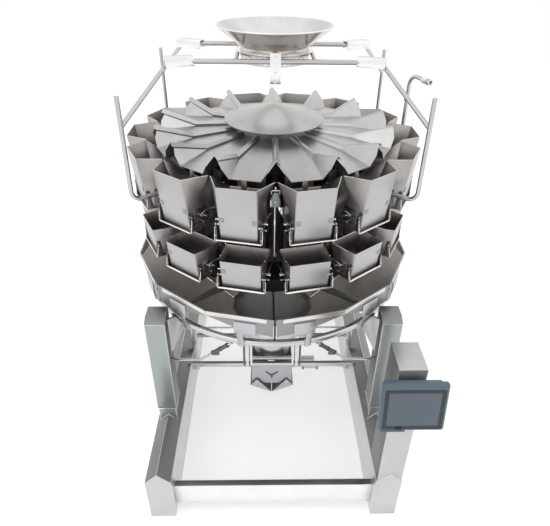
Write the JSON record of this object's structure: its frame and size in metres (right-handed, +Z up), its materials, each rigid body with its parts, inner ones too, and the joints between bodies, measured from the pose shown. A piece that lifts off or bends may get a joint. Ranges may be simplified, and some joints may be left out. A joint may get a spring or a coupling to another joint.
{
  "type": "multihead weigher",
  "caption": "Combination weigher on a steel frame: radial feeders, pool and weigh hoppers with swinging gates, folded discharge chutes, timing hopper and a control panel.",
  "frame": {"origin": "middle of the bounding box at floor level; the axis of the heads stands 46 mm behind it and 16 mm to its left, because the panel stands out in front and the conduit on the right", "axes": "+Z up, front of the machine with the control panel towards -Y, +X to the right seen from the front"},
  "size_m": [1.1996, 1.636, 1.83],
  "materials": {
    "satin_frame": "satin sheet",
    "pipe_steel": "bright tube",
    "chute_steel": "satin sheet",
    "body_steel": "dark satin",
    "hopper_steel": "brushed sheet",
    "gate_steel": "bright sheet",
    "feeder_steel": "fine satin",
    "polished_steel": "polished",
    "panel_paint": "semi-gloss paint"
  },
  "bodies": {
    "frame": {"side_frame_left": "satin_frame", "side_frame_right": "satin_frame", "front_crossbeam": "satin_frame", "rear_crossbeam": "satin_frame", "support_ring": "pipe_steel", "discharge_chutes": "chute_steel", "collecting_funnel": "chute_steel", "timing_hopper": "chute_steel", "centre_body": "body_steel", "feeder_troughs": "feeder_steel", "dispersion_cone": "feeder_steel", "guard_frame": "pipe_steel", "infeed_funnel": "polished_steel", "control_post": "satin_frame", "control_panel": "panel_paint", "conduit_gooseneck": "pipe_steel", "head_01": "hopper_steel", "head_02": "hopper_steel", "head_03": "hopper_steel", "head_04": "hopper_steel", "head_05": "hopper_steel", "head_06": "hopper_steel", "head_07": "hopper_steel", "head_08": "hopper_steel", "head_09": "hopper_steel", "head_10": "hopper_steel", "head_11": "hopper_steel", "head_12": "hopper_steel", "head_13": "hopper_steel", "head_14": "hopper_steel"},
    "pool_gate_01": {"pool_gate_01": "gate_steel"},
    "weigh_gate_01": {"weigh_gate_01": "gate_steel"},
    "pool_gate_02": {"pool_gate_02": "gate_steel"},
    "weigh_gate_02": {"weigh_gate_02": "gate_steel"},
    "pool_gate_03": {"pool_gate_03": "gate_steel"},
    "weigh_gate_03": {"weigh_gate_03": "gate_steel"},
    "pool_gate_04": {"pool_gate_04": "gate_steel"},
    "weigh_gate_04": {"weigh_gate_04": "gate_steel"},
    "pool_gate_05": {"pool_gate_05": "gate_steel"},
    "weigh_gate_05": {"weigh_gate_05": "gate_steel"},
    "pool_gate_06": {"pool_gate_06": "gate_steel"},
    "weigh_gate_06": {"weigh_gate_06": "gate_steel"},
    "pool_gate_07": {"pool_gate_07": "gate_steel"},
    "weigh_gate_07": {"weigh_gate_07": "gate_steel"},
    "pool_gate_08": {"pool_gate_08": "gate_steel"},
    "weigh_gate_08": {"weigh_gate_08": "gate_steel"},
    "pool_gate_09": {"pool_gate_09": "gate_steel"},
    "weigh_gate_09": {"weigh_gate_09": "gate_steel"},
    "pool_gate_10": {"pool_gate_10": "gate_steel"},
    "weigh_gate_10": {"weigh_gate_10": "gate_steel"},
    "pool_gate_11": {"pool_gate_11": "gate_steel"},
    "weigh_gate_11": {"weigh_gate_11": "gate_steel"},
    "pool_gate_12": {"pool_gate_12": "gate_steel"},
    "weigh_gate_12": {"weigh_gate_12": "gate_steel"},
    "pool_gate_13": {"pool_gate_13": "gate_steel"},
    "weigh_gate_13": {"weigh_gate_13": "gate_steel"},
    "pool_gate_14": {"pool_gate_14": "gate_steel"},
    "weigh_gate_14": {"weigh_gate_14": "gate_steel"},
    "timing_gate_left": {"timing_gate_left": "gate_steel"},
    "timing_gate_right": {"timing_gate_right": "gate_steel"}
  },
  "joints": [
    {"name": "pool_gate_01_swing", "type": "hinge", "parent": "frame", "child": "pool_gate_01", "pos_m": [0.10685, -0.49432, 1.293], "axis": [-0.9749, -0.2225, 0], "range_deg": [0, 60], "stiffness_Nm_per_rad": 0.6, "springref_deg": -60.16},
    {"name": "weigh_gate_01_swing", "type": "hinge", "parent": "frame", "child": "weigh_gate_01", "pos_m": [0.10378, -0.48085, 1.08], "axis": [-0.9749, -0.2225, 0], "range_deg": [0, 60], "stiffness_Nm_per_rad": 0.6, "springref_deg": -60.16},
    {"name": "pool_gate_02_swing", "type": "hinge", "parent": "frame", "child": "pool_gate_02", "pos_m": [0.32888, -0.3874, 1.293], "axis": [-0.7818, -0.6235, 0], "range_deg": [0, 60], "stiffness_Nm_per_rad": 0.6, "springref_deg": -60.16},
    {"name": "weigh_gate_02_swing", "type": "hinge", "parent": "frame", "child": "weigh_gate_02", "pos_m": [0.32026, -0.3766, 1.08], "axis": [-0.7818, -0.6235, 0], "range_deg": [0, 60], "stiffness_Nm_per_rad": 0.6, "springref_deg": -60.16},
    {"name": "pool_gate_03_swing", "type": "hinge", "parent": "frame", "child": "pool_gate_03", "pos_m": [0.48253, -0.19473, 1.293], "axis": [-0.4339, -0.901, 0], "range_deg": [0, 60], "stiffness_Nm_per_rad": 0.6, "springref_deg": -60.16},
    {"name": "weigh_gate_03_swing", "type": "hinge", "parent": "frame", "child": "weigh_gate_03", "pos_m": [0.47008, -0.18874, 1.08], "axis": [-0.4339, -0.901, 0], "range_deg": [0, 60], "stiffness_Nm_per_rad": 0.6, "springref_deg": -60.16},
    {"name": "pool_gate_04_swing", "type": "hinge", "parent": "frame", "child": "pool_gate_04", "pos_m": [0.53736, 0.04552, 1.293], "axis": [0, -1, 0], "range_deg": [0, 60], "stiffness_Nm_per_rad": 0.6, "springref_deg": -60.16},
    {"name": "weigh_gate_04_swing", "type": "hinge", "parent": "frame", "child": "weigh_gate_04", "pos_m": [0.52354, 0.04552, 1.08], "axis": [0, -1, 0], "range_deg": [0, 60], "stiffness_Nm_per_rad": 0.6, "springref_deg": -60.16},
    {"name": "pool_gate_05_swing", "type": "hinge", "parent": "frame", "child": "pool_gate_05", "pos_m": [0.48253, 0.28578, 1.293], "axis": [0.4339, -0.901, 0], "range_deg": [0, 60], "stiffness_Nm_per_rad": 0.6, "springref_deg": -60.16},
    {"name": "weigh_gate_05_swing", "type": "hinge", "parent": "frame", "child": "weigh_gate_05", "pos_m": [0.47008, 0.27978, 1.08], "axis": [0.4339, -0.901, 0], "range_deg": [0, 60], "stiffness_Nm_per_rad": 0.6, "springref_deg": -60.16},
    {"name": "pool_gate_06_swing", "type": "hinge", "parent": "frame", "child": "pool_gate_06", "pos_m": [0.32888, 0.47845, 1.293], "axis": [0.7818, -0.6235, 0], "range_deg": [0, 60], "stiffness_Nm_per_rad": 0.6, "springref_deg": -60.16},
    {"name": "weigh_gate_06_swing", "type": "hinge", "parent": "frame", "child": "weigh_gate_06", "pos_m": [0.32026, 0.46764, 1.08], "axis": [0.7818, -0.6235, 0], "range_deg": [0, 60], "stiffness_Nm_per_rad": 0.6, "springref_deg": -60.16},
    {"name": "pool_gate_07_swing", "type": "hinge", "parent": "frame", "child": "pool_gate_07", "pos_m": [0.10685, 0.58537, 1.293], "axis": [0.9749, -0.2225, 0], "range_deg": [0, 60], "stiffness_Nm_per_rad": 0.6, "springref_deg": -60.16},
    {"name": "weigh_gate_07_swing", "type": "hinge", "parent": "frame", "child": "weigh_gate_07", "pos_m": [0.10378, 0.5719, 1.08], "axis": [0.9749, -0.2225, 0], "range_deg": [0, 60], "stiffness_Nm_per_rad": 0.6, "springref_deg": -60.16},
    {"name": "pool_gate_08_swing", "type": "hinge", "parent": "frame", "child": "pool_gate_08", "pos_m": [-0.13958, 0.58537, 1.293], "axis": [0.9749, 0.2225, 0], "range_deg": [0, 60], "stiffness_Nm_per_rad": 0.6, "springref_deg": -60.16},
    {"name": "weigh_gate_08_swing", "type": "hinge", "parent": "frame", "child": "weigh_gate_08", "pos_m": [-0.13651, 0.5719, 1.08], "axis": [0.9749, 0.2225, 0], "range_deg": [0, 60], "stiffness_Nm_per_rad": 0.6, "springref_deg": -60.16},
    {"name": "pool_gate_09_swing", "type": "hinge", "parent": "frame", "child": "pool_gate_09", "pos_m": [-0.36161, 0.47845, 1.293], "axis": [0.7818, 0.6235, 0], "range_deg": [0, 60], "stiffness_Nm_per_rad": 0.6, "springref_deg": -60.16},
    {"name": "weigh_gate_09_swing", "type": "hinge", "parent": "frame", "child": "weigh_gate_09", "pos_m": [-0.35299, 0.46764, 1.08], "axis": [0.7818, 0.6235, 0], "range_deg": [0, 60], "stiffness_Nm_per_rad": 0.6, "springref_deg": -60.16},
    {"name": "pool_gate_10_swing", "type": "hinge", "parent": "frame", "child": "pool_gate_10", "pos_m": [-0.51526, 0.28578, 1.293], "axis": [0.4339, 0.901, 0], "range_deg": [0, 60], "stiffness_Nm_per_rad": 0.6, "springref_deg": -60.16},
    {"name": "weigh_gate_10_swing", "type": "hinge", "parent": "frame", "child": "weigh_gate_10", "pos_m": [-0.50281, 0.27978, 1.08], "axis": [0.4339, 0.901, 0], "range_deg": [0, 60], "stiffness_Nm_per_rad": 0.6, "springref_deg": -60.16},
    {"name": "pool_gate_11_swing", "type": "hinge", "parent": "frame", "child": "pool_gate_11", "pos_m": [-0.5701, 0.04552, 1.293], "axis": [0, 1, 0], "range_deg": [0, 60], "stiffness_Nm_per_rad": 0.6, "springref_deg": -60.16},
    {"name": "weigh_gate_11_swing", "type": "hinge", "parent": "frame", "child": "weigh_gate_11", "pos_m": [-0.55627, 0.04552, 1.08], "axis": [0, 1, 0], "range_deg": [0, 60], "stiffness_Nm_per_rad": 0.6, "springref_deg": -60.16},
    {"name": "pool_gate_12_swing", "type": "hinge", "parent": "frame", "child": "pool_gate_12", "pos_m": [-0.51526, -0.19473, 1.293], "axis": [-0.4339, 0.901, 0], "range_deg": [0, 60], "stiffness_Nm_per_rad": 0.6, "springref_deg": -60.16},
    {"name": "weigh_gate_12_swing", "type": "hinge", "parent": "frame", "child": "weigh_gate_12", "pos_m": [-0.50281, -0.18874, 1.08], "axis": [-0.4339, 0.901, 0], "range_deg": [0, 60], "stiffness_Nm_per_rad": 0.6, "springref_deg": -60.16},
    {"name": "pool_gate_13_swing", "type": "hinge", "parent": "frame", "child": "pool_gate_13", "pos_m": [-0.36161, -0.3874, 1.293], "axis": [-0.7818, 0.6235, 0], "range_deg": [0, 60], "stiffness_Nm_per_rad": 0.6, "springref_deg": -60.16},
    {"name": "weigh_gate_13_swing", "type": "hinge", "parent": "frame", "child": "weigh_gate_13", "pos_m": [-0.35299, -0.3766, 1.08], "axis": [-0.7818, 0.6235, 0], "range_deg": [0, 60], "stiffness_Nm_per_rad": 0.6, "springref_deg": -60.16},
    {"name": "pool_gate_14_swing", "type": "hinge", "parent": "frame", "child": "pool_gate_14", "pos_m": [-0.13958, -0.49432, 1.293], "axis": [-0.9749, 0.2225, 0], "range_deg": [0, 60], "stiffness_Nm_per_rad": 0.6, "springref_deg": -60.16},
    {"name": "weigh_gate_14_swing", "type": "hinge", "parent": "frame", "child": "weigh_gate_14", "pos_m": [-0.13651, -0.48085, 1.08], "axis": [-0.9749, 0.2225, 0], "range_deg": [0, 60], "stiffness_Nm_per_rad": 0.6, "springref_deg": -60.16},
    {"name": "timing_gate_left_swing", "type": "hinge", "parent": "frame", "child": "timing_gate_left", "pos_m": [-0.09437, 0.04552, 0.114], "axis": [0, 1, 0], "range_deg": [0, 50], "stiffness_Nm_per_rad": 0.8, "springref_deg": -68.75},
    {"name": "timing_gate_right_swing", "type": "hinge", "parent": "frame", "child": "timing_gate_right", "pos_m": [0.06163, 0.04552, 0.114], "axis": [0, -1, 0], "range_deg": [0, 50], "stiffness_Nm_per_rad": 0.8, "springref_deg": -68.75}
  ]
}
